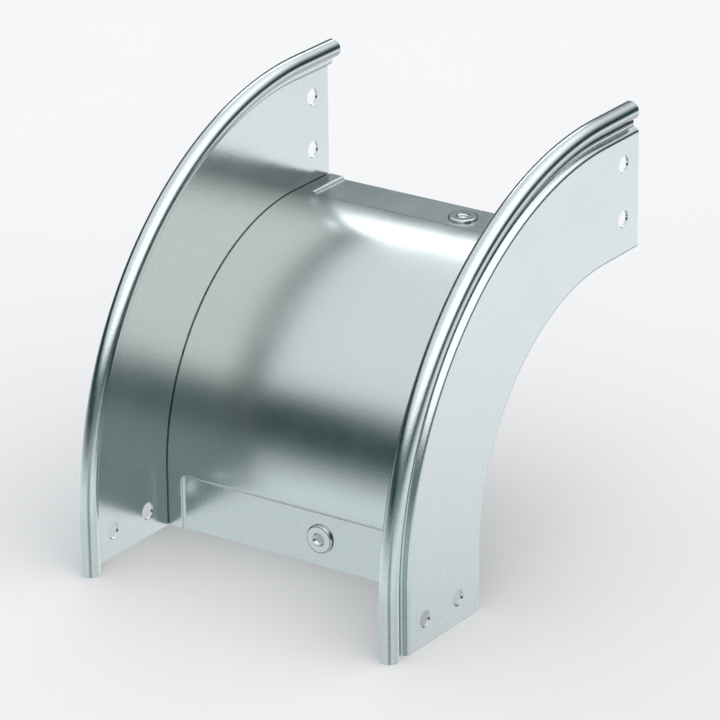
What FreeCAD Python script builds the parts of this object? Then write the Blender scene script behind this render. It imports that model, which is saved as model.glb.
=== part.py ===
import FreeCAD, Part
import math
import os

# Cable tray bend, 90 degrees, in folded galvanised sheet.
# A curved floor sheet lies between two roll-formed side walls. The tray is open on the
# outer side of the bend, so cables climb from the lower end and leave along the upper end.
# Frame: X runs across the tray, Z is up at the lower end, and Y is the run of the upper end.
# The origin is the middle of the floor's tray face at the lower end. Sizes are millimetres.

# Whole bend
inner_width = 146.0
floor_radius = 90.0
straight_length = 24.0
turn_angle = 90.0

# Side wall
wall_sheet = 1.0
wall_height = 60.0
flange_width = 7.0
flange_bend = 0.5
bead_diameter = 7.5
bead_root_bend = 0.9
bead_slit = 0.4
neck_setback = 2.4
neck_length = 1.1
shoulder_angle = 60.0
shoulder_bend = 0.6

# Bolt holes in the side walls
bolt_hole_diameter = 7.0
bolt_hole_pitch = 22.5
bolt_hole_height = 13.5
bolt_hole_end_distance = 11.0

# Floor sheet
floor_sheet = 1.0
floor_edge_gap = 0.5
recess_length = 23.0
recess_side_margin = 7.0
recess_lap_clearance = 0.2
recess_slope_angle = 45.0
recess_corner = 2.5
recess_bend = 0.3

# Threaded bushes
bush_end_distance = 11.5
bush_flange_diameter = 12.0
bush_flange_height = 1.3
bush_flange_chamfer = 0.2
bush_bore_diameter = 5.0
bush_shank_diameter = 8.6
bush_fit_clearance = 0.05
bush_ring_diameter = 10.4
bush_ring_height = 0.8
bush_mouth_angle = 45.0

# Sizes that follow from those above
floor_to_wall_edge = wall_sheet + floor_sheet
recess_depth = floor_sheet + recess_lap_clearance
centre_y = floor_radius
centre_z = straight_length

# How far a cutter runs past what it cuts, and how near an edge must lie to be picked
cutter_overrun = 5.0
match = 0.001


def vec(x, y, z):
    return FreeCAD.Vector(x, y, z)


def heading_vector(angle):
    return vec(math.cos(math.radians(angle)), math.sin(math.radians(angle)), 0)


def strip_face(start, heading, moves, thickness):
    """A folded strip drawn flat in the XY plane, as a face of even thickness.

    The moves follow the middle of the sheet: ("run", length), or
    ("bend", inner_radius, angle), where a positive angle turns left.
    """
    half = thickness / 2
    left_edges = []
    right_edges = []
    point = start
    for move in moves:
        along = heading_vector(heading)
        side = heading_vector(heading + 90)
        if move[0] == "run":
            end = point + along * move[1]
            left_edges.append(Part.makeLine(point + side * half, end + side * half))
            right_edges.append(Part.makeLine(point - side * half, end - side * half))
        else:
            turn = math.copysign(1, move[2])
            middle_radius = move[1] + half
            centre = point + side * (turn * middle_radius)
            angles = [heading - turn * 90 + move[2] * step for step in (0, 0.5, 1)]
            for edges, offset in ((left_edges, -turn * half), (right_edges, turn * half)):
                radius = middle_radius + offset
                through = [centre + heading_vector(angle) * radius for angle in angles]
                edges.append(Part.Arc(*through).toShape())
            end = centre + heading_vector(angles[2]) * middle_radius
            heading = heading + move[2]
        point = end
    closing = [
        Part.makeLine(left_edges[0].firstVertex().Point, right_edges[0].firstVertex().Point),
        Part.makeLine(left_edges[-1].lastVertex().Point, right_edges[-1].lastVertex().Point),
    ]
    outline = Part.Wire(Part.__sortEdges__(left_edges + right_edges + closing))
    return Part.Face(outline)


def wall_profile():
    """Section of a side wall: X is inward from its outer face, Y is up from its bottom edge."""
    half = wall_sheet / 2
    bead_radius = bead_diameter / 2
    bead_middle = bead_radius - half
    root_middle = bead_root_bend + half
    neck_x = neck_setback + half
    bead_x = bead_radius
    bead_y = wall_height - bead_radius

    # The root bend touches the neck and the bead, so its centre is found from both.
    root_offset = neck_x + root_middle - bead_x
    centre_distance = root_middle + bead_middle
    root_drop = math.sqrt(centre_distance**2 - root_offset**2)
    root_y = bead_y - root_drop
    root_angle = 180 - math.degrees(math.atan2(root_drop, -root_offset))

    # The curl stops where its cut edge leaves the slit open beside the root bend.
    slit_reach = root_middle + half + bead_slit
    slit_cosine = (centre_distance**2 + bead_radius**2 - slit_reach**2) / (2 * centre_distance * bead_radius)
    curl_angle = 360 - math.degrees(math.acos(slit_cosine))

    shoulder_middle = shoulder_bend + half
    shoulder_turn = math.radians(shoulder_angle)
    shoulder_run = (neck_setback - 2 * shoulder_middle * (1 - math.cos(shoulder_turn))) / math.sin(shoulder_turn)
    shoulder_rise = 2 * shoulder_middle * math.sin(shoulder_turn) + shoulder_run * math.cos(shoulder_turn)
    web_bottom = flange_bend + wall_sheet
    web_top = root_y - neck_length - shoulder_rise

    moves = [
        ("run", flange_width - web_bottom),
        ("bend", flange_bend, -90),
        ("run", web_top - web_bottom),
        ("bend", shoulder_bend, -shoulder_angle),
        ("run", shoulder_run),
        ("bend", shoulder_bend, shoulder_angle),
        ("run", neck_length),
        ("bend", bead_root_bend, -root_angle),
        ("bend", bead_middle - half, curl_angle),
    ]
    return strip_face(vec(flange_width, half, 0), 180, moves, wall_sheet)


def run_path():
    """The run of the bend along the floor's tray face: straight, arc, straight."""
    middle_turn = math.radians(turn_angle / 2)
    start = vec(0, 0, 0)
    arc_start = vec(0, 0, straight_length)
    arc_middle = vec(
        0,
        centre_y - floor_radius * math.cos(middle_turn),
        centre_z + floor_radius * math.sin(middle_turn),
    )
    arc_end = vec(0, centre_y, centre_z + floor_radius)
    end = arc_end + vec(0, straight_length, 0)
    return Part.Wire(
        [
            Part.makeLine(start, arc_start),
            Part.Arc(arc_start, arc_middle, arc_end).toShape(),
            Part.makeLine(arc_end, end),
        ]
    )


def at_upper_end(shape):
    """The same form at the upper end: both ends mirror across the plane through the bend's middle."""
    half_reach = (centre_y + centre_z) / 2
    return shape.mirror(vec(0, half_reach, half_reach), vec(0, 1, 1))


def bolt_hole_cutters():
    """Pins through both walls, two in a line across the height at each end."""
    reach = inner_width / 2 + wall_sheet + cutter_overrun
    cutters = []
    for count in range(2):
        height = bolt_hole_height + count * bolt_hole_pitch
        pin = Part.makeCylinder(
            bolt_hole_diameter / 2,
            2 * reach,
            vec(-reach, -height, bolt_hole_end_distance),
            vec(1, 0, 0),
        )
        cutters.append(pin)
        cutters.append(at_upper_end(pin))
    return cutters


def side_wall_left():
    """Roll-formed wall at -X: flange under the floor, web, shoulder, neck and curled bead."""
    profile = wall_profile()
    # Flat section to the lower end: inward is +X, and up the wall is -Y.
    profile.rotate(vec(0, 0, 0), vec(1, 0, 0), 180)
    profile.translate(vec(-inner_width / 2 - wall_sheet, floor_to_wall_edge, 0))
    wall = run_path().makePipe(profile)
    return wall.cut(bolt_hole_cutters())


def mirrored_across_tray(shape):
    return shape.mirror(vec(0, 0, 0), vec(1, 0, 0))


def recess_block(depth_from, depth_to, spread):
    """Tapered block of the pressed end recess, between two depths below the tray face.

    It is wider all round by the spread at its upper face, narrows with the slope of
    the pressing, and runs out past the end of the floor.
    """
    outlines = []
    for depth in (depth_from, depth_to):
        taper = spread - (depth - depth_from) / math.tan(math.radians(recess_slope_angle))
        half_width = inner_width / 2 - recess_side_margin + taper
        top = recess_length + taper
        corner = recess_corner + taper
        straight_x = half_width - corner
        straight_z = top - corner
        diagonal = corner * math.sqrt(0.5)
        bottom = -cutter_overrun
        outlines.append(
            Part.Wire(
                [
                    Part.makeLine(vec(-half_width, depth, bottom), vec(-half_width, depth, straight_z)),
                    Part.Arc(
                        vec(-half_width, depth, straight_z),
                        vec(-straight_x - diagonal, depth, straight_z + diagonal),
                        vec(-straight_x, depth, top),
                    ).toShape(),
                    Part.makeLine(vec(-straight_x, depth, top), vec(straight_x, depth, top)),
                    Part.Arc(
                        vec(straight_x, depth, top),
                        vec(straight_x + diagonal, depth, straight_z + diagonal),
                        vec(half_width, depth, straight_z),
                    ).toShape(),
                    Part.makeLine(vec(half_width, depth, straight_z), vec(half_width, depth, bottom)),
                    Part.makeLine(vec(half_width, depth, bottom), vec(-half_width, depth, bottom)),
                ]
            )
        )
    return Part.makeLoft(outlines, True, True)


def round_pressing(sheet, depth, spread, radius):
    """Round the bend line of the lower pressing that lies at the given depth below the tray face."""
    half_width = inner_width / 2 - recess_side_margin + spread + match
    top = recess_length + spread + match
    bend_line = []
    for edge in sheet.Edges:
        points = edge.discretize(3)
        level = all(abs(point.y - depth) < match for point in points)
        inside = all(abs(point.x) < half_width and point.z < top for point in points)
        on_end = all(point.z < match for point in points)
        round_hole = len(edge.Vertexes) < 2
        if level and inside and not on_end and not round_hole:
            bend_line.append(edge)
    return sheet.makeFillet(radius, bend_line)


def bush_axis_at_lower_end():
    """Middle of the bush on the tray face of the recess."""
    return vec(0, recess_depth, bush_end_distance)


def floor():
    """Curved floor sheet with a pressed, lowered panel at each end and a hole for its bush."""
    moves = [
        ("run", straight_length),
        ("bend", floor_radius - floor_sheet, -turn_angle),
        ("run", straight_length),
    ]
    # Drawn with Y as X and Z as Y, then stood up and drawn out across the tray.
    section = strip_face(vec(floor_sheet / 2, 0, 0), 90, moves, floor_sheet)
    section.rotate(vec(0, 0, 0), vec(1, 1, 1), 120)
    width = inner_width - 2 * floor_edge_gap
    section.translate(vec(-width / 2, 0, 0))
    sheet = section.extrude(vec(width, 0, 0))

    # The underside of the pressing follows the tray side at one sheet thickness.
    underside_spread = floor_sheet * math.tan(math.radians(recess_slope_angle / 2))
    pressed = recess_block(floor_sheet, recess_depth + floor_sheet, underside_spread)
    beyond_end = Part.makeBox(
        inner_width,
        recess_depth + 2 * floor_sheet,
        cutter_overrun,
        vec(-inner_width / 2, 0, -cutter_overrun),
    )
    pressed = pressed.cut(beyond_end)
    pocket = recess_block(0, recess_depth, 0)
    hole = Part.makeCylinder(
        bush_shank_diameter / 2 + bush_fit_clearance,
        floor_sheet + cutter_overrun,
        bush_axis_at_lower_end() - vec(0, cutter_overrun / 2, 0),
        vec(0, 1, 0),
    )
    sheet = sheet.fuse([pressed, at_upper_end(pressed)])
    sheet = sheet.cut([pocket, hole, at_upper_end(pocket), at_upper_end(hole)])
    sheet = sheet.removeSplitter()

    # Round the four bend lines of each pressing: two on the tray side, two on the underside.
    outer_bend = recess_bend + floor_sheet
    bends = (
        (0, 0, outer_bend),
        (recess_depth, 0, recess_bend),
        (floor_sheet, underside_spread, recess_bend),
        (recess_depth + floor_sheet, underside_spread, outer_bend),
    )
    for depth, spread, radius in bends:
        sheet = round_pressing(sheet, depth, spread, radius)
        sheet = at_upper_end(round_pressing(at_upper_end(sheet), depth, spread, radius))
    return sheet


def threaded_bush():
    """Pressed-in bush: round flange on the tray side, shank through the sheet, swaged ring below."""
    bore = bush_bore_diameter / 2
    shank = bush_shank_diameter / 2
    flange = bush_flange_diameter / 2
    ring = bush_ring_diameter / 2
    ring_end = floor_sheet + bush_ring_height
    mouth = bore + bush_ring_height * math.tan(math.radians(bush_mouth_angle))
    ring_edge = ring - bush_ring_height / 2
    # Radius along X, depth below the recess's tray face along Y.
    outline = [
        Part.makeLine(vec(bore, -bush_flange_height, 0), vec(flange - bush_flange_chamfer, -bush_flange_height, 0)),
        Part.makeLine(
            vec(flange - bush_flange_chamfer, -bush_flange_height, 0),
            vec(flange, bush_flange_chamfer - bush_flange_height, 0),
        ),
        Part.makeLine(vec(flange, bush_flange_chamfer - bush_flange_height, 0), vec(flange, 0, 0)),
        Part.makeLine(vec(flange, 0, 0), vec(shank, 0, 0)),
        Part.makeLine(vec(shank, 0, 0), vec(shank, floor_sheet, 0)),
        Part.makeLine(vec(shank, floor_sheet, 0), vec(ring, floor_sheet, 0)),
        Part.makeLine(vec(ring, floor_sheet, 0), vec(ring_edge, ring_end, 0)),
        Part.makeLine(vec(ring_edge, ring_end, 0), vec(mouth, ring_end, 0)),
        Part.makeLine(vec(mouth, ring_end, 0), vec(bore, floor_sheet, 0)),
        Part.makeLine(vec(bore, floor_sheet, 0), vec(bore, -bush_flange_height, 0)),
    ]
    bush = Part.Face(Part.Wire(outline)).revolve(vec(0, 0, 0), vec(0, 1, 0), 360)
    bush.translate(bush_axis_at_lower_end())
    return bush


def threaded_bushes():
    """The two bushes, one in each end recess."""
    lower = threaded_bush()
    return Part.makeCompound([lower, at_upper_end(lower)])


os.makedirs("parts", exist_ok=True)
left_wall = side_wall_left()
nodes = {
    "side_wall_left": left_wall,
    "side_wall_right": mirrored_across_tray(left_wall),
    "floor_sheet": floor(),
    "threaded_bushes": threaded_bushes(),
}
for name, shape in nodes.items():
    shape.exportStep("parts/" + name + ".step")
    print(name, len(shape.Solids), shape.isValid(), round(shape.Volume, 1), shape.BoundBox)
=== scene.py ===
import math

import bmesh
import bpy
from mathutils import Matrix, Vector


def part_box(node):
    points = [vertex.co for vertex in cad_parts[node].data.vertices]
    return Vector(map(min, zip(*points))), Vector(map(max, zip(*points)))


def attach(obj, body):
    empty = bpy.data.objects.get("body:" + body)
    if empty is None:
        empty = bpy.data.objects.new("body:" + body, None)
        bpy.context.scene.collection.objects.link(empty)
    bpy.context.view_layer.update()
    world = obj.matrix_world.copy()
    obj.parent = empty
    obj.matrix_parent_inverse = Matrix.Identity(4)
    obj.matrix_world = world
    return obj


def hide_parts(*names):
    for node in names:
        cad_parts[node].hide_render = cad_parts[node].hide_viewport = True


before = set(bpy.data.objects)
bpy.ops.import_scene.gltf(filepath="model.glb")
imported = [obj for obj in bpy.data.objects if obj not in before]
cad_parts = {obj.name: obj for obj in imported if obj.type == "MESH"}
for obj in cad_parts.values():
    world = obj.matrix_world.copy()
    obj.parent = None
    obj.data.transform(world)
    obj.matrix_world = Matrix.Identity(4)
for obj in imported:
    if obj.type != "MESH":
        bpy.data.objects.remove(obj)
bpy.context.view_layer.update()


# Side walls: two mirrored walls, roll-formed from galvanised strip and then curved between rollers.
# Each has a flange that the floor is fixed to, a flat web with two bolt holes at each end, a
# shoulder that steps inward, a short neck and a curled bead along its free edge.
mm = 0.001
right_angle = math.radians(90)
wall_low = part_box("side_wall_left")[0]
floor_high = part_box("floor_sheet")[1]

wall_outer_x = -wall_low.x
wall_top = -wall_low.y
floor_reach = floor_high.z
straight_length = 24 * mm
floor_radius = floor_reach - straight_length
tray_turn = right_angle
run_length = 2 * straight_length + tray_turn * floor_radius

wall_sheet = 1.0 * mm
wall_bottom = -2.0 * mm
wall_height = wall_top - wall_bottom
flange_width = 7.0 * mm
flange_bend = 0.5 * mm
shoulder_bend = 0.6 * mm
shoulder_angle = math.radians(60)
neck_setback = 2.4 * mm
neck_length = 1.1 * mm
bead_diameter = 7.5 * mm
bead_root_bend = 0.9 * mm
bead_slit = 0.4 * mm

bolt_hole_diameter = 7.0 * mm
bolt_hole_pitch = 22.5 * mm
bolt_hole_height = 13.5 * mm
bolt_hole_end_distance = 11.0 * mm
hole_facets = 56


def folded_outline(start, heading, moves, sheet):
    """Points round a folded strip; a move is ("run", length, 0) or ("bend", inner radius, left turn)."""
    half = sheet / 2
    bend_step = math.radians(6)
    fewest_steps = 3
    # A short face at each end of a run keeps the shading of the bends off the flat.
    shading_hold = 0.2 * mm
    place = Vector(start)
    stations = []

    def note(centre_line, angle):
        side = Vector((-math.sin(angle), math.cos(angle)))
        stations.append((centre_line + side * half, centre_line - side * half))

    note(place, heading)
    for kind, size, turn in moves:
        along = Vector((math.cos(heading), math.sin(heading)))
        if kind == "run":
            hold = min(shading_hold, size / 3)
            for distance in (hold, size - hold, size):
                note(place + along * distance, heading)
            place = place + along * size
        else:
            way = math.copysign(1, turn)
            radius = size + half
            centre = place + Vector((-along.y, along.x)) * (way * radius)
            steps = max(fewest_steps, round(abs(turn) / bend_step))
            for step in range(1, steps + 1):
                angle = heading + turn * step / steps
                side = Vector((-math.sin(angle), math.cos(angle)))
                note(centre - side * (way * radius), angle)
            heading = heading + turn
            place = centre - Vector((-math.sin(heading), math.cos(heading))) * (way * radius)
    left = [pair[0] for pair in stations]
    right = [pair[1] for pair in stations]
    return left + right[::-1]


def wall_moves():
    """Runs and bends of the wall's section, from the free edge of the flange to the end of the curl."""
    half = wall_sheet / 2
    bead_radius = bead_diameter / 2
    bead_middle = bead_radius - half
    root_middle = bead_root_bend + half
    # The root bend touches both the neck and the bead.
    root_offset = neck_setback + half + root_middle - bead_radius
    centre_distance = root_middle + bead_middle
    root_drop = math.sqrt(centre_distance**2 - root_offset**2)
    root_turn = math.pi - math.atan2(root_drop, -root_offset)
    # The curl stops short of the root bend by the slit.
    slit_reach = root_middle + half + bead_slit
    slit_cosine = (centre_distance**2 + bead_radius**2 - slit_reach**2) / (2 * centre_distance * bead_radius)
    curl_turn = 2 * math.pi - math.acos(slit_cosine)

    shoulder_middle = shoulder_bend + half
    shoulder_in = neck_setback - 2 * shoulder_middle * (1 - math.cos(shoulder_angle))
    shoulder_run = shoulder_in / math.sin(shoulder_angle)
    shoulder_rise = 2 * shoulder_middle * math.sin(shoulder_angle) + shoulder_run * math.cos(shoulder_angle)
    web_low = flange_bend + wall_sheet
    web_high = wall_height - bead_radius - root_drop - neck_length - shoulder_rise
    return [
        ("run", flange_width - web_low, 0),
        ("bend", flange_bend, -right_angle),
        ("run", web_high - web_low, 0),
        ("bend", shoulder_bend, -shoulder_angle),
        ("run", shoulder_run, 0),
        ("bend", shoulder_bend, shoulder_angle),
        ("run", neck_length, 0),
        ("bend", bead_root_bend, -root_turn),
        ("bend", bead_middle - half, curl_turn),
    ]


def closed_loop(name, points):
    """A mesh of one closed line through the points."""
    mesh = bpy.data.meshes.new(name)
    count = len(points)
    mesh.from_pydata(points, [(number, (number + 1) % count) for number in range(count)], [])
    return mesh


def wall_section(side):
    """The section of the wall at side -1 or +1, as one closed loop drawn flat in XY."""
    outline = folded_outline((flange_width, wall_sheet / 2), math.pi, wall_moves(), wall_sheet)
    points = [(side * (wall_outer_x - inward), wall_bottom + up, 0) for inward, up in outline]
    if side > 0:
        points.reverse()
    return closed_loop("wall_section", points)


def add(tree, kind, inputs=None, **settings):
    """A new node with its settings, and each input either set to a value or linked to a socket."""
    made = tree.nodes.new(kind)
    for name, setting in settings.items():
        setattr(made, name, setting)
    for name, given in (inputs or {}).items():
        if isinstance(given, bpy.types.NodeSocket):
            tree.links.new(given, made.inputs[name])
        else:
            made.inputs[name].default_value = given
    return made


def math_value(tree, operation, *terms):
    """The result of a math node."""
    return add(tree, "ShaderNodeMath", dict(enumerate(terms)), operation=operation).outputs[0]


def shape_tree(name, sizes, finish=True):
    """A geometry tree with a named input for each size, and its input and output nodes."""
    tree = bpy.data.node_groups.new(name, "GeometryNodeTree")
    tree.interface.new_socket("Geometry", in_out="INPUT", socket_type="NodeSocketGeometry")
    for size in sizes:
        tree.interface.new_socket(size, in_out="INPUT", socket_type="NodeSocketFloat")
    if finish:
        tree.interface.new_socket("Finish", in_out="INPUT", socket_type="NodeSocketMaterial")
    tree.interface.new_socket("Geometry", in_out="OUTPUT", socket_type="NodeSocketGeometry")
    return tree, add(tree, "NodeGroupInput"), add(tree, "NodeGroupOutput")


def point_place(tree):
    """The X, Y and Z of each point of a shape."""
    point = add(tree, "GeometryNodeInputPosition").outputs[0]
    return add(tree, "ShaderNodeSeparateXYZ", {0: point}).outputs


def former_tree():
    """Bends a straight piece round the curve: X across the tray, Y out of the tray face, Z along the run."""
    sizes = ["Floor Radius", "Straight Length"]
    tree, given, result = shape_tree("Bend round the former", sizes, finish=False)
    radius = given.outputs["Floor Radius"]
    straight = given.outputs["Straight Length"]
    place = point_place(tree)
    past_straight = math_value(tree, "SUBTRACT", place["Z"], straight)
    arc = math_value(tree, "MULTIPLY", radius, tray_turn)
    on_arc = math_value(tree, "MINIMUM", math_value(tree, "MAXIMUM", past_straight, 0.0), arc)
    angle = math_value(tree, "DIVIDE", on_arc, radius)
    before = math_value(tree, "MINIMUM", place["Z"], straight)
    beyond = math_value(tree, "MAXIMUM", math_value(tree, "SUBTRACT", past_straight, arc), 0.0)
    reach = math_value(tree, "ADD", radius, place["Y"])
    across = math_value(tree, "MULTIPLY", reach, math_value(tree, "COSINE", angle))
    along = math_value(tree, "MULTIPLY", reach, math_value(tree, "SINE", angle))
    bent_y = math_value(tree, "ADD", math_value(tree, "SUBTRACT", radius, across), beyond)
    bent_z = math_value(tree, "ADD", before, along)
    bent = add(tree, "ShaderNodeCombineXYZ", {"X": place["X"], "Y": bent_y, "Z": bent_z})
    moved = add(
        tree,
        "GeometryNodeSetPosition",
        {"Geometry": given.outputs["Geometry"], "Position": bent.outputs[0]},
    )
    # The height out of the tray face runs against Y once it is bent, which mirrors the piece,
    # so its faces are turned outward again.
    turned_out = add(tree, "GeometryNodeFlipFaces", {"Mesh": moved.outputs[0]})
    tree.links.new(turned_out.outputs[0], result.inputs[0])
    return tree


former = former_tree()


def finish_sheet(tree, given, result, flat):
    """Ends a tree: keeps the flat place for the finish, then bends, shades and clads the piece."""
    smallest_crease = math.radians(25)
    kept = add(
        tree,
        "GeometryNodeStoreNamedAttribute",
        {"Geometry": flat, "Name": "laid_flat", "Value": add(tree, "GeometryNodeInputPosition").outputs[0]},
        data_type="FLOAT_VECTOR",
        domain="POINT",
    )
    bent = add(tree, "GeometryNodeGroup", node_tree=former)
    tree.links.new(kept.outputs[0], bent.inputs["Geometry"])
    for size in ("Floor Radius", "Straight Length"):
        tree.links.new(given.outputs[size], bent.inputs[size])
    smooth = add(
        tree,
        "GeometryNodeSetShadeSmooth",
        {"Geometry": bent.outputs[0], "Shade Smooth": True},
        domain="FACE",
    )
    edge_angle = add(tree, "GeometryNodeInputMeshEdgeAngle").outputs[0]
    sharp = math_value(tree, "GREATER_THAN", edge_angle, smallest_crease)
    creased = add(
        tree,
        "GeometryNodeSetShadeSmooth",
        {"Geometry": smooth.outputs[0], "Selection": sharp, "Shade Smooth": False},
        domain="EDGE",
    )
    whole = add(tree, "GeometryNodeRealizeInstances", {"Geometry": creased.outputs[0]})
    clad = add(
        tree,
        "GeometryNodeSetMaterial",
        {"Geometry": whole.outputs[0], "Material": given.outputs["Finish"]},
    )
    tree.links.new(clad.outputs[0], result.inputs[0])


def rolled_wall_tree():
    """Draws a section out along the run, drills two bolt holes at each end and bends the wall."""
    sizes = [
        "Floor Radius",
        "Straight Length",
        "Run Length",
        "Station Length",
        "Web Middle",
        "Hole Diameter",
        "Hole Pitch",
        "Hole Height",
        "Hole End Distance",
    ]
    tree, given, result = shape_tree("Rolled side wall", sizes)
    size = given.outputs
    section = add(tree, "GeometryNodeMeshToCurve", {"Mesh": size["Geometry"]})
    far_end = add(tree, "ShaderNodeCombineXYZ", {"Z": size["Run Length"]})
    line = add(tree, "GeometryNodeCurvePrimitiveLine", {"End": far_end.outputs[0]})
    stations = add(
        tree,
        "GeometryNodeResampleCurve",
        {"Curve": line.outputs[0], "Length": size["Station Length"]},
        mode="LENGTH",
    )
    strip = add(
        tree,
        "GeometryNodeCurveToMesh",
        {"Curve": stations.outputs[0], "Profile Curve": section.outputs[0], "Fill Caps": True},
    )

    # A grid of two by two points marks the holes, and a pin at each point drills its hole.
    from_both_ends = math_value(tree, "MULTIPLY", size["Hole End Distance"], 2.0)
    ends_apart = math_value(tree, "SUBTRACT", size["Run Length"], from_both_ends)
    marks = add(
        tree,
        "GeometryNodeMeshGrid",
        {"Size X": ends_apart, "Size Y": size["Hole Pitch"], "Vertices X": 2, "Vertices Y": 2},
    )
    half_pitch = math_value(tree, "MULTIPLY", size["Hole Pitch"], 0.5)
    middle_height = math_value(tree, "ADD", size["Hole Height"], half_pitch)
    middle_run = math_value(tree, "MULTIPLY", size["Run Length"], 0.5)
    middle = add(tree, "ShaderNodeCombineXYZ", {"X": size["Web Middle"], "Y": middle_height, "Z": middle_run})
    placed = add(
        tree,
        "GeometryNodeTransform",
        {
            "Geometry": marks.outputs["Mesh"],
            "Translation": middle.outputs[0],
            "Rotation": (0, -right_angle, 0),
        },
    )
    pin_radius = math_value(tree, "MULTIPLY", size["Hole Diameter"], 0.5)
    pin_length = 4 * mm
    pin = add(
        tree,
        "GeometryNodeMeshCylinder",
        {"Vertices": hole_facets, "Radius": pin_radius, "Depth": pin_length},
    )
    pins = add(
        tree,
        "GeometryNodeInstanceOnPoints",
        {"Points": placed.outputs[0], "Instance": pin.outputs["Mesh"], "Rotation": (0, right_angle, 0)},
    )
    drills = add(tree, "GeometryNodeRealizeInstances", {"Geometry": pins.outputs[0]})
    drilled = add(
        tree,
        "GeometryNodeMeshBoolean",
        {"Mesh 1": strip.outputs[0], "Mesh 2": drills.outputs[0]},
        operation="DIFFERENCE",
        solver="EXACT",
    )
    finish_sheet(tree, given, result, drilled.outputs["Mesh"])
    return tree


def plain_mesh(piece):
    """A mesh of the object with its modifiers applied."""
    depsgraph = bpy.context.evaluated_depsgraph_get()
    return bpy.data.meshes.new_from_object(piece.evaluated_get(depsgraph))


def shape(name, drawn, tree, sizes):
    """The piece that the tree makes of the drawn mesh with these sizes, as a plain mesh at the origin."""
    piece = bpy.data.objects.new(name, drawn)
    bpy.context.scene.collection.objects.link(piece)
    maker = piece.modifiers.new("Shape", "NODES")
    maker.node_group = tree
    for socket in tree.interface.items_tree:
        if socket.in_out == "INPUT" and socket.name in sizes:
            maker[socket.identifier] = sizes[socket.name]
    made = plain_mesh(piece)
    # The nodes leave an empty slot ahead of the finish.
    made.materials.clear()
    made.materials.append(sizes["Finish"])
    made.name = name
    piece.modifiers.clear()
    piece.data = made
    return piece


def look_group(name, inputs, outputs):
    """A shader group with sockets of the named kinds, and what goes into it and what it puts out."""
    group = bpy.data.node_groups.new(name, "ShaderNodeTree")
    for in_out, sockets in (("INPUT", inputs), ("OUTPUT", outputs)):
        for socket, kind in sockets.items():
            group.interface.new_socket(socket, in_out=in_out, socket_type="NodeSocket" + kind)
    return group, add(group, "NodeGroupInput").outputs, add(group, "NodeGroupOutput").inputs


def laid_flat(tree):
    """The place on the sheet as it was laid out flat."""
    return add(tree, "ShaderNodeAttribute", attribute_name="laid_flat").outputs["Vector"]


def noise(tree, place, scale, detail, roughness=0.5):
    """Cloudy random values over the place."""
    look = {"Vector": place, "Scale": scale, "Detail": detail, "Roughness": roughness}
    return add(tree, "ShaderNodeTexNoise", look).outputs[0]


def ranged(tree, value, start, end, low=0.0, high=1.0, **settings):
    """Goes from low to high as the value goes from start to end."""
    ends = {"Value": value, "From Min": start, "From Max": end, "To Min": low, "To Max": high}
    return add(tree, "ShaderNodeMapRange", ends, **settings).outputs[0]


def color_mix(tree, factor, first, second):
    """The first colour, turning into the second as the factor goes from 0 to 1."""
    # The node has its two colours at inputs 6 and 7, and their mix at output 2.
    return add(tree, "ShaderNodeMix", {"Factor": factor, 6: first, 7: second}, data_type="RGBA").outputs[2]


def zinc_skin_group():
    """Shared look of a zinc coat on the flat sheet: soft clouds, faint rolling lines and a fine grain."""
    inputs = {
        "Tint": "Color",
        "Cloud Tint": "Color",
        "Cloud Size": "Float",
        "Grain Size": "Float",
        "Grain Height": "Float",
        "Gloss Low": "Float",
        "Gloss High": "Float",
    }
    outputs = {"Color": "Color", "Roughness": "Float", "Normal": "Vector"}
    group, given, result = look_group("Zinc skin", inputs, outputs)
    flat = laid_flat(group)
    cloud_scale = math_value(group, "DIVIDE", 1.0, given["Cloud Size"])
    clouds = noise(group, flat, scale=cloud_scale, detail=3.0, roughness=0.55)
    grain_scale = math_value(group, "DIVIDE", 1.0, given["Grain Size"])
    grain = noise(group, flat, scale=grain_scale, detail=2.0, roughness=0.6)
    # The rolling lines are noise that is drawn out fifty times along the run.
    drawn_out = add(group, "ShaderNodeMapping", {"Vector": flat, "Scale": (1.0, 1.0, 0.02)}).outputs[0]
    lines = noise(group, drawn_out, scale=900.0, detail=2.0)

    cloudy = color_mix(group, clouds, given["Tint"], given["Cloud Tint"])
    speckle = ranged(group, grain, start=0.3, end=0.7, low=0.95, high=1.05)
    color = add(group, "ShaderNodeVectorMath", {0: cloudy, "Scale": speckle}, operation="SCALE")
    cloud_share = 0.55
    grain_share = 0.45
    from_clouds = math_value(group, "MULTIPLY", clouds, cloud_share)
    from_grain = math_value(group, "MULTIPLY", grain, grain_share)
    unevenness = math_value(group, "ADD", from_clouds, from_grain)
    gloss = ranged(group, unevenness, start=0.35, end=0.65, low=given["Gloss Low"], high=given["Gloss High"])
    line_height = 0.5
    height = math_value(group, "ADD", grain, math_value(group, "MULTIPLY", lines, line_height))
    relief = add(
        group,
        "ShaderNodeBump",
        {"Strength": 1.0, "Distance": given["Grain Height"], "Height": height},
    )
    group.links.new(color.outputs[0], result["Color"])
    group.links.new(gloss, result["Roughness"])
    group.links.new(relief.outputs[0], result["Normal"])
    return group


zinc_skin = zinc_skin_group()


def zinc_material(name, settings):
    """A metal whose colour, roughness and relief come from the zinc skin with these settings."""
    material = bpy.data.materials.new(name)
    material.use_nodes = True
    tree = material.node_tree
    skin = add(tree, "ShaderNodeGroup", node_tree=zinc_skin)
    for socket, setting in settings.items():
        skin.inputs[socket].default_value = setting
    metal = tree.nodes["Principled BSDF"]
    metal.inputs["Metallic"].default_value = 1.0
    for output, socket in (("Color", "Base Color"), ("Roughness", "Roughness"), ("Normal", "Normal")):
        tree.links.new(skin.outputs[output], metal.inputs[socket])
    return material


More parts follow.
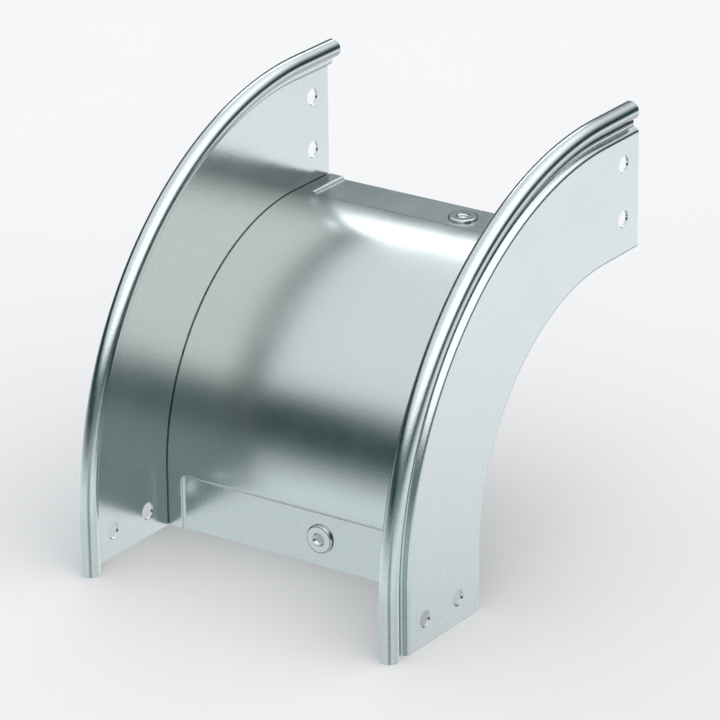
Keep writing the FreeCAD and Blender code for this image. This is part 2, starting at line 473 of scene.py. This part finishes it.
sheet_finish = {
    "Tint": (0.505, 0.535, 0.52, 1),
    "Cloud Tint": (0.535, 0.565, 0.55, 1),
    "Cloud Size": 24 * mm,
    "Grain Size": 0.8 * mm,
    "Grain Height": 0.02 * mm,
    "Gloss Low": 0.20,
    "Gloss High": 0.26,
}
wall_finish = {**sheet_finish, "Gloss Low": 0.15, "Gloss High": 0.21}
galvanised_wall = zinc_material("Galvanised side wall", wall_finish)


def painted_shade_group():
    """Shared painted shade: a dark colour laid over a colour by an amount, a little patchily."""
    inputs = {"Unshaded Color": "Color", "Amount": "Float", "Patch Size": "Float"}
    group, given, result = look_group("Painted shade", inputs, {"Color": "Color"})
    # This dark colour is painted shade.
    shade_color = (0.022, 0.030, 0.032, 1)
    patch_scale = math_value(group, "DIVIDE", 1.0, given["Patch Size"])
    patches = noise(group, laid_flat(group), scale=patch_scale, detail=2.0)
    cover = ranged(group, patches, start=0.3, end=0.7, low=0.8, high=1.0)
    shade_amount = math_value(group, "MULTIPLY", given["Amount"], cover)
    group.links.new(color_mix(group, shade_amount, given["Unshaded Color"], shade_color), result["Color"])
    return group


painted_shade = painted_shade_group()


def paint_shade(material, amount, patch_size):
    """Paints shade over the material's colour, by the given amount."""
    tree = material.node_tree
    base_color = tree.nodes["Principled BSDF"].inputs["Base Color"]
    unshaded = base_color.links[0].from_socket
    shaded_over = add(
        tree,
        "ShaderNodeGroup",
        {"Unshaded Color": unshaded, "Amount": amount, "Patch Size": patch_size},
        node_tree=painted_shade,
    )
    tree.links.new(shaded_over.outputs["Color"], base_color)


def flat_place(tree):
    """The X, Y and Z of the place on the sheet as it was laid out flat."""
    return add(tree, "ShaderNodeSeparateXYZ", {0: laid_flat(tree)}).outputs


def painted_groove_shade(tree):
    """How much painted shade darkens the groove under the bead, on the outer side of the neck."""
    place = flat_place(tree)
    inward = math_value(tree, "SUBTRACT", wall_outer_x, math_value(tree, "ABSOLUTE", place["X"]))
    fade = 0.25 * mm
    groove_low = wall_top - 8.75 * mm
    groove_high = wall_top - 7.8 * mm
    neck_outer_side = neck_setback - 0.1 * mm
    neck_middle = neck_setback + wall_sheet / 2
    limits = (
        (inward, neck_outer_side, -fade),
        (inward, neck_middle, fade),
        (place["Y"], groove_low, -fade),
        (place["Y"], groove_high, fade),
    )
    amount = 0.9
    for value, limit, outward in limits:
        within = ranged(tree, value, start=limit + outward, end=limit)
        amount = math_value(tree, "MULTIPLY", amount, within)
    return amount


# The groove under the bead is darkened with painted shade, which stands in for the shade in the neck.
paint_shade(galvanised_wall, painted_groove_shade(galvanised_wall.node_tree), patch_size=6 * mm)

wall_tree = rolled_wall_tree()
for wall_name, side in (("side_wall_left", -1), ("side_wall_right", 1)):
    wall = shape(
        wall_name + "_rolled",
        wall_section(side),
        wall_tree,
        {
            "Floor Radius": floor_radius,
            "Straight Length": straight_length,
            "Run Length": run_length,
            "Station Length": 2.2 * mm,
            "Web Middle": side * (wall_outer_x - wall_sheet / 2),
            "Hole Diameter": bolt_hole_diameter,
            "Hole Pitch": bolt_hole_pitch,
            "Hole Height": bolt_hole_height,
            "Hole End Distance": bolt_hole_end_distance,
            "Finish": galvanised_wall,
        },
    )
    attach(wall, "root")
    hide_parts(wall_name)


# Floor sheet: one galvanised sheet, pressed while flat, then curved and fixed on the flanges of the
# walls. A shallow panel is pressed down at each end, where the floor of the next tray laps in, with
# a hole for its bush.
floor_sheet = 1.0 * mm
floor_half_width = floor_high.x
inner_half_width = wall_outer_x - wall_sheet
recess_side_margin = 7.0 * mm
recess_length = 23.0 * mm
recess_depth = 1.2 * mm
recess_corner = 2.5 * mm
recess_slope = math.radians(55)
recess_bend = 0.3 * mm
bush_end_distance = 11.5 * mm
bush_shank_diameter = 8.7 * mm


def pressing_section():
    """The pressed step as (distance in from its upper line, height), from the floor down to the panel."""
    bend_steps = 6
    shading_hold = 0.2 * mm
    upper = recess_bend + floor_sheet
    upper_start = -upper * math.tan(recess_slope / 2)
    lower_end = recess_depth / math.tan(recess_slope) + recess_bend * math.tan(recess_slope / 2)
    points = [(upper_start - shading_hold, 0.0)]
    for step in range(bend_steps + 1):
        angle = recess_slope * step / bend_steps
        points.append((upper_start + upper * math.sin(angle), -upper * (1 - math.cos(angle))))
    for step in range(bend_steps + 1):
        angle = recess_slope * (1 - step / bend_steps)
        inset = lower_end - recess_bend * math.sin(angle)
        points.append((inset, recess_bend * (1 - math.cos(angle)) - recess_depth))
    points.append((lower_end + shading_hold, -recess_depth))
    return points


def pressing_ring(inset):
    """Plan of the pressed step at an inset: up one side, round two corners and down the other side."""
    half_width = inner_half_width - recess_side_margin - inset
    length = recess_length - inset
    corner = recess_corner - inset
    corner_steps = 8
    right = [(half_width, 0.0)]
    for step in range(corner_steps + 1):
        angle = right_angle * step / corner_steps
        right.append((half_width - corner * (1 - math.cos(angle)), length - corner * (1 - math.sin(angle))))
    left = [(-x, z) for x, z in reversed(right)]
    return right + left


def pressed_end(sheet, at_far_end):
    """Adds one flat end of the floor with its pressed panel to the sheet's mesh."""

    def corner_at(x, height, z):
        return sheet.verts.new((x, height, run_length - z if at_far_end else z))

    rings = []
    for inset, height in pressing_section():
        rings.append([corner_at(x, height, z) for x, z in pressing_ring(inset)])
    for outer, inner in zip(rings, rings[1:]):
        for place in range(len(outer) - 1):
            sheet.faces.new((outer[place], outer[place + 1], inner[place + 1], inner[place]))

    border = [
        corner_at(-floor_half_width, 0, 0),
        corner_at(-floor_half_width, 0, straight_length),
        corner_at(floor_half_width, 0, straight_length),
        corner_at(floor_half_width, 0, 0),
    ]
    sheet.faces.new(border + rings[0])

    hole = []
    hole_radius = bush_shank_diameter / 2
    for facet in range(hole_facets):
        angle = 2 * math.pi * facet / hole_facets
        along = bush_end_distance + hole_radius * math.sin(angle)
        hole.append(corner_at(hole_radius * math.cos(angle), -recess_depth, along))
    panel = []
    for loop in (rings[-1], hole):
        for pair in zip(loop, loop[1:] + loop[:1]):
            panel.append(sheet.edges.get(pair) or sheet.edges.new(pair))
    bmesh.ops.triangle_fill(sheet, use_beauty=True, use_dissolve=False, edges=panel)
    return border[1], border[2]


def flat_floor():
    """The floor before it is curved: its tray face, with a row of faces for each step of the curve."""
    sheet = bmesh.new()
    last = pressed_end(sheet, False)
    upper = pressed_end(sheet, True)
    curve_steps = 64
    for step in range(1, curve_steps + 1):
        z = straight_length + (run_length - 2 * straight_length) * step / curve_steps
        row = upper
        if step < curve_steps:
            row = (sheet.verts.new((-floor_half_width, 0, z)), sheet.verts.new((floor_half_width, 0, z)))
        sheet.faces.new((last[0], last[1], row[1], row[0]))
        last = row
    for face in sheet.faces:
        face.normal_update()
        if face.normal.y < 0:
            face.normal_flip()
    mesh = bpy.data.meshes.new("floor_flat")
    sheet.to_mesh(mesh)
    sheet.free()
    return mesh


def pressed_floor_tree():
    """Bends the flat floor and finishes it."""
    tree, given, result = shape_tree("Pressed floor", ["Floor Radius", "Straight Length"])
    finish_sheet(tree, given, result, given.outputs["Geometry"])
    return tree


floor_flat = bpy.data.objects.new("floor_flat", flat_floor())
bpy.context.scene.collection.objects.link(floor_flat)
thickness = floor_flat.modifiers.new("Sheet", "SOLIDIFY")
thickness.thickness = floor_sheet
thickness.offset = -1
thickness.use_even_offset = True
floor_blank = plain_mesh(floor_flat)
bpy.data.objects.remove(floor_flat)

galvanised = zinc_material("Galvanised sheet", sheet_finish)
floor_piece = shape(
    "floor_sheet_pressed",
    floor_blank,
    pressed_floor_tree(),
    {"Floor Radius": floor_radius, "Straight Length": straight_length, "Finish": galvanised},
)
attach(floor_piece, "root")
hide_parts("floor_sheet")


# Threaded bushes: two turned steel bushes, zinc plated, pressed through the end panels from the tray
# side and swaged underneath. Each has a low round flange and a short threaded bore for an M6 screw.
bush_flange_diameter = 12.0 * mm
bush_flange_height = 1.3 * mm
bush_edge = 0.8 * mm
bush_bore_diameter = 5.0 * mm
bush_lead_in = 0.35 * mm
bush_body_diameter = 8.6 * mm
bush_ring_diameter = 10.4 * mm
bush_ring_height = 0.8 * mm
thread_pitch = 1.0 * mm
thread_depth = 0.45 * mm


def bush_outline():
    """The turned outline as (radius, depth below the panel), with a fine row of points along the bore."""
    bore = bush_bore_diameter / 2
    flange = bush_flange_diameter / 2
    ring = bush_ring_diameter / 2
    body = bush_body_diameter / 2
    top = -bush_flange_height
    bottom = floor_sheet + bush_ring_height
    shading_hold = 0.15 * mm
    points = [(bore + bush_lead_in, top), (flange - bush_edge - shading_hold, top)]
    edge_steps = 6
    for step in range(edge_steps + 1):
        angle = right_angle * step / edge_steps
        points.append((flange - bush_edge * (1 - math.sin(angle)), top + bush_edge * (1 - math.cos(angle))))
    points += [
        (flange, 0.0),
        (body, 0.0),
        (body, floor_sheet),
        (ring, floor_sheet),
        (ring - bush_ring_height / 2, bottom),
        (bore + bush_ring_height, bottom),
    ]
    thread_top = top + bush_lead_in
    thread_bottom = bottom - bush_ring_height
    bore_rows = 30
    for row in range(bore_rows + 1):
        points.append((bore, thread_bottom + (thread_top - thread_bottom) * row / bore_rows))
    return points


def turned_bush_tree():
    """Turns the outline into a bush, cuts the thread into its bore and sets one bush in each end panel."""
    sizes = [
        "Floor Radius",
        "Straight Length",
        "Run Length",
        "End Distance",
        "Panel Depth",
        "Bore Diameter",
        "Thread Pitch",
        "Thread Depth",
    ]
    tree, given, result = shape_tree("Turned bushes", sizes)
    size = given.outputs
    turned_steps = 72
    path_radius = 0.001 * mm
    outline = add(tree, "GeometryNodeMeshToCurve", {"Mesh": size["Geometry"]})
    # The outline's plane is laid into the profile's XY plane, and a tiny circle carries it round.
    laid = add(
        tree,
        "GeometryNodeTransform",
        {"Geometry": outline.outputs[0], "Rotation": (-right_angle, 0, 0)},
    )
    path = add(tree, "GeometryNodeCurvePrimitiveCircle", {"Resolution": turned_steps, "Radius": path_radius})
    body = add(
        tree,
        "GeometryNodeCurveToMesh",
        {"Curve": path.outputs[0], "Profile Curve": laid.outputs[0], "Fill Caps": False},
    )

    # The points of the bore move out by a wave that climbs one pitch with each turn.
    place = point_place(tree)
    x_squared = math_value(tree, "MULTIPLY", place["X"], place["X"])
    y_squared = math_value(tree, "MULTIPLY", place["Y"], place["Y"])
    radius = math_value(tree, "SQRT", math_value(tree, "ADD", x_squared, y_squared))
    angle = math_value(tree, "ARCTAN2", place["Y"], place["X"])
    round_turn = math_value(tree, "DIVIDE", angle, 2 * math.pi)
    climb = math_value(tree, "DIVIDE", place["Z"], size["Thread Pitch"])
    half_turn = 0.5
    wave = math_value(tree, "PINGPONG", math_value(tree, "ADD", climb, round_turn), half_turn)
    groove = math_value(tree, "MULTIPLY", math_value(tree, "MULTIPLY", wave, 2.0), size["Thread Depth"])
    bore_margin = 0.05 * mm
    bore_radius = math_value(tree, "MULTIPLY", size["Bore Diameter"], 0.5)
    in_bore = math_value(tree, "LESS_THAN", radius, math_value(tree, "ADD", bore_radius, bore_margin))
    wider = math_value(tree, "DIVIDE", math_value(tree, "ADD", radius, groove), radius)
    cut_x = math_value(tree, "MULTIPLY", place["X"], wider)
    cut_y = math_value(tree, "MULTIPLY", place["Y"], wider)
    cut_place = add(tree, "ShaderNodeCombineXYZ", {"X": cut_x, "Y": cut_y, "Z": place["Z"]})
    threaded = add(
        tree,
        "GeometryNodeSetPosition",
        {"Geometry": body.outputs[0], "Selection": in_bore, "Position": cut_place.outputs[0]},
    )

    # The turned bush stands with its flange up, so it is laid over to put the flange on the tray side.
    lying = add(
        tree,
        "GeometryNodeTransform",
        {"Geometry": threaded.outputs[0], "Rotation": (-right_angle, 0, 0)},
    )
    far_distance = math_value(tree, "SUBTRACT", size["Run Length"], size["End Distance"])
    panel_height = math_value(tree, "MULTIPLY", size["Panel Depth"], -1.0)
    both = add(tree, "GeometryNodeJoinGeometry")
    for distance in (size["End Distance"], far_distance):
        seat = add(tree, "ShaderNodeCombineXYZ", {"Y": panel_height, "Z": distance})
        seated = add(
            tree,
            "GeometryNodeTransform",
            {"Geometry": lying.outputs[0], "Translation": seat.outputs[0]},
        )
        tree.links.new(seated.outputs[0], both.inputs[0])
    finish_sheet(tree, given, result, both.outputs[0])
    return tree


plated = zinc_material(
    "Zinc plated bush",
    {
        "Tint": (0.51, 0.54, 0.525, 1),
        "Cloud Tint": (0.55, 0.58, 0.57, 1),
        "Cloud Size": 3 * mm,
        "Grain Size": 0.25 * mm,
        "Grain Height": 0.004 * mm,
        "Gloss Low": 0.16,
        "Gloss High": 0.24,
    },
)


def painted_bush_shade(tree):
    """How much painted shade lies on a bush: a thin dark ring on its flange, and dark marks beside the lower
    flange.
    """
    place = flat_place(tree)
    far_z = math_value(tree, "SUBTRACT", run_length, place["Z"])
    near_end = math_value(tree, "MINIMUM", place["Z"], far_z)
    from_axis = math_value(tree, "SUBTRACT", near_end, bush_end_distance)
    off_axis = add(tree, "ShaderNodeCombineXYZ", {"X": place["X"], "Y": from_axis})
    radius = add(tree, "ShaderNodeVectorMath", {0: off_axis.outputs[0]}, operation="LENGTH").outputs["Value"]
    rim = bush_flange_diameter / 2
    outer_ring = ranged(tree, radius, start=rim - 0.3 * mm, end=rim - 0.45 * mm)
    inner_ring = ranged(tree, radius, start=rim - 0.95 * mm, end=rim - 0.7 * mm)
    ring_amount = 0.45
    ring = math_value(tree, "MULTIPLY", math_value(tree, "MULTIPLY", outer_ring, inner_ring), ring_amount)

    # Painted shade: the marks stand in for the shade at the base of the lower flange.
    # The marks lie low on the rim, at its two sides, and only at the lower bush, as in the photograph.
    above_panel = math_value(tree, "ADD", place["Y"], recess_depth)
    sideways = math_value(tree, "DIVIDE", math_value(tree, "ABSOLUTE", place["X"]), radius)
    marks = ranged(tree, above_panel, start=0.5 * mm, end=0.3 * mm)
    for value, start, end in (
        (radius, rim - 0.3 * mm, rim - 0.2 * mm),
        (sideways, 0.66, 0.80),
        (place["Z"], 0.6 * run_length, 0.4 * run_length),
    ):
        marks = math_value(tree, "MULTIPLY", marks, ranged(tree, value, start, end))
    return math_value(tree, "MAXIMUM", ring, marks)


# The dark ring and the marks on the bushes are painted shade.
paint_shade(plated, painted_bush_shade(plated.node_tree), patch_size=2 * mm)

bushes = shape(
    "threaded_bushes_turned",
    closed_loop("bush_outline", [(radius, 0.0, depth) for radius, depth in bush_outline()]),
    turned_bush_tree(),
    {
        "Floor Radius": floor_radius,
        "Straight Length": straight_length,
        "Run Length": run_length,
        "End Distance": bush_end_distance,
        "Panel Depth": recess_depth,
        "Bore Diameter": bush_bore_diameter,
        "Thread Pitch": thread_pitch,
        "Thread Depth": thread_depth,
        "Finish": plated,
    },
)
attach(bushes, "root")
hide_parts("threaded_bushes")


# Studio: a plain pale floor under the bend, a soft panel light behind it on the left, and a white
# studio all round that the metal mirrors, bright above and below, with a dark band at eye level.
object_middle = Vector((-7.215, 40.0, 71.783)) * mm


def studio_floor():
    """A plain square of floor under the object, in pale paint with a very faint mottle."""
    half_size = 3.0
    drop = 0.05 * mm
    corners = [(x * half_size, y * half_size, -drop) for x, y in ((-1, -1), (1, -1), (1, 1), (-1, 1))]
    mesh = bpy.data.meshes.new("studio_floor")
    mesh.from_pydata(corners, [], [(0, 1, 2, 3)])
    paint = bpy.data.materials.new("Pale floor")
    paint.use_nodes = True
    tree = paint.node_tree
    coat = tree.nodes["Principled BSDF"]
    coat.inputs["Roughness"].default_value = 0.7
    paint_dark = (0.68, 0.66, 0.64, 1)
    paint_light = (0.71, 0.69, 0.67, 1)
    place = add(tree, "ShaderNodeTexCoord").outputs["Object"]
    mottle = noise(tree, place, scale=6.0, detail=3.0)
    tree.links.new(color_mix(tree, mottle, paint_dark, paint_light), coat.inputs["Base Color"])
    mesh.materials.append(paint)
    ground = bpy.data.objects.new("studio_floor", mesh)
    bpy.context.scene.collection.objects.link(ground)
    # The floor is kept out of reflections and casts no shadow, so the metal mirrors the studio
    # below it and light from there reaches the sheet.
    ground.visible_glossy = False
    ground.visible_shadow = False
    return ground


studio_floor()


def direction(azimuth, elevation):
    """Unit vector at an azimuth and elevation in degrees; azimuth 0 lies towards -Y and 90 towards +X."""
    sideways = math.radians(azimuth)
    upward = math.radians(elevation)
    level = math.cos(upward)
    return Vector((math.sin(sideways) * level, -math.cos(sideways) * level, math.sin(upward)))


def back_panel():
    """A soft rectangular light behind the object on its left, that faces the object."""
    light = bpy.data.lights.new("back_panel", "AREA")
    light.shape = "RECTANGLE"
    light.size = 0.54
    light.size_y = 0.17
    light.energy = 0.82
    light.color = (0.97, 1.0, 1.02)
    panel = bpy.data.objects.new("back_panel", light)
    bpy.context.scene.collection.objects.link(panel)
    distance = 1.0
    away = direction(azimuth=-138, elevation=37.6)
    panel.location = object_middle + away * distance
    panel.rotation_euler = away.to_track_quat("Z", "Y").to_euler()
    panel.visible_camera = False


back_panel()


def studio_sky():
    """The white studio that the metal mirrors, and the plain pale backdrop that the camera sees."""
    world = bpy.data.worlds.new("Studio")
    world.use_nodes = True
    tree = world.node_tree
    towards_vector = add(tree, "ShaderNodeTexCoord").outputs["Generated"]
    towards = add(tree, "ShaderNodeSeparateXYZ", {0: towards_vector}).outputs
    at_back = math_value(tree, "MAXIMUM", towards["Y"], 0.0)
    at_right = math_value(tree, "MAXIMUM", towards["X"], 0.0)

    def eased(value, start, end):
        return ranged(tree, value, start, end, interpolation_type="SMOOTHSTEP")

    def sloped(value, slope, at_zero):
        return math_value(tree, "MULTIPLY_ADD", value, slope, at_zero)

    def near(azimuth, elevation, rim_cosine):
        spot = {0: towards_vector, 1: direction(azimuth, elevation)}
        cosine = add(tree, "ShaderNodeVectorMath", spot, operation="DOT_PRODUCT").outputs["Value"]
        return eased(cosine, start=rim_cosine, end=1.0)

    # The ground is brightest at the back and a little brighter on the right than in front. It is dim
    # in one place in front on the right, and dimmer further down, most so at the back.
    ground_front = (1.12, 1.22, 1.29, 1)
    ground_back = (1.53, 1.59, 1.67, 1)
    ground_right = (1.20, 1.30, 1.37, 1)
    ground_dim = (0.44, 0.58, 0.63, 1)
    ground = color_mix(tree, eased(towards["Y"], start=0.45, end=0.78), ground_front, ground_back)
    ground = color_mix(tree, eased(towards["X"], start=0.60, end=0.80), ground, ground_right)
    ground = color_mix(tree, near(azimuth=33, elevation=-21, rim_cosine=0.93), ground, ground_dim)
    least = sloped(towards["Y"], slope=-0.16, at_zero=0.60)
    dimmer = ranged(tree, towards["Z"], start=-0.46, end=-0.37, low=least)
    ground = add(tree, "ShaderNodeVectorMath", {0: ground, "Scale": dimmer}, operation="SCALE").outputs[0]

    # At eye level the studio is dark, though less so in front on the right.
    band_dark = (0.015, 0.06, 0.066, 1)
    band_light = (0.18, 0.27, 0.28, 1)
    band = color_mix(tree, near(azimuth=36, elevation=3, rim_cosine=0.80), band_dark, band_light)
    band_height = sloped(at_back, slope=0.12, at_zero=towards["Z"])
    low = color_mix(tree, eased(band_height, start=-0.33, end=0.10), ground, band)

    # The ceiling is brighter on the right, and its edge is lower there than on the left. At the back
    # the edge is softer and higher, and rises most on the right.
    ceiling_left = (1.14, 1.20, 1.28, 1)
    ceiling_right = (1.86, 1.90, 1.97, 1)
    ceiling = color_mix(tree, eased(towards["X"], start=-0.35, end=0.30), ceiling_left, ceiling_right)
    squared = math_value(tree, "MULTIPLY", towards["X"], towards["X"])
    cubed = math_value(tree, "MULTIPLY", squared, towards["X"])
    leaning = sloped(cubed, slope=0.14, at_zero=towards["Z"])
    edge_rise = sloped(at_right, slope=0.20, at_zero=0.14)
    edge = sloped(at_back, slope=edge_rise, at_zero=0.38)
    softness = sloped(at_back, slope=0.35, at_zero=0.12)
    above_edge = math_value(tree, "DIVIDE", math_value(tree, "SUBTRACT", leaning, edge), softness)
    whole = color_mix(tree, eased(above_edge, start=-1.0, end=1.0), low, ceiling)

    backdrop = (0.86, 0.87, 0.88, 1)
    seen_by_camera = add(tree, "ShaderNodeLightPath").outputs["Is Camera Ray"]
    seen = color_mix(tree, seen_by_camera, whole, backdrop)
    tree.links.new(seen, tree.nodes["Background"].inputs["Color"])
    bpy.context.scene.world = world


studio_sky()


def photo_camera():
    """A long lens from the front right and above, as in the photograph."""
    azimuth = 34.795
    elevation = 22.219
    roll = math.radians(-0.626)
    focal_pixels = 4777.6
    frame_pixels = 720
    distance = 1869.9 * mm
    lens = bpy.data.cameras.new("photo_camera")
    lens.sensor_width = 36
    lens.lens = lens.sensor_width * focal_pixels / frame_pixels
    lens.clip_start = 0.1
    lens.clip_end = 20
    camera = bpy.data.objects.new("photo_camera", lens)
    bpy.context.scene.collection.objects.link(camera)
    back = direction(azimuth, elevation)
    right = Vector((math.cos(math.radians(azimuth)), math.sin(math.radians(azimuth)), 0))
    up = back.cross(right)
    rolled_right = right * math.cos(roll) + up * math.sin(roll)
    rolled_up = up * math.cos(roll) - right * math.sin(roll)
    axes = Matrix((rolled_right, rolled_up, back)).transposed().to_4x4()
    camera.matrix_world = Matrix.Translation(object_middle + back * distance) @ axes
    bpy.context.scene.camera = camera
    bpy.context.scene.view_settings.view_transform = "Standard"


photo_camera()
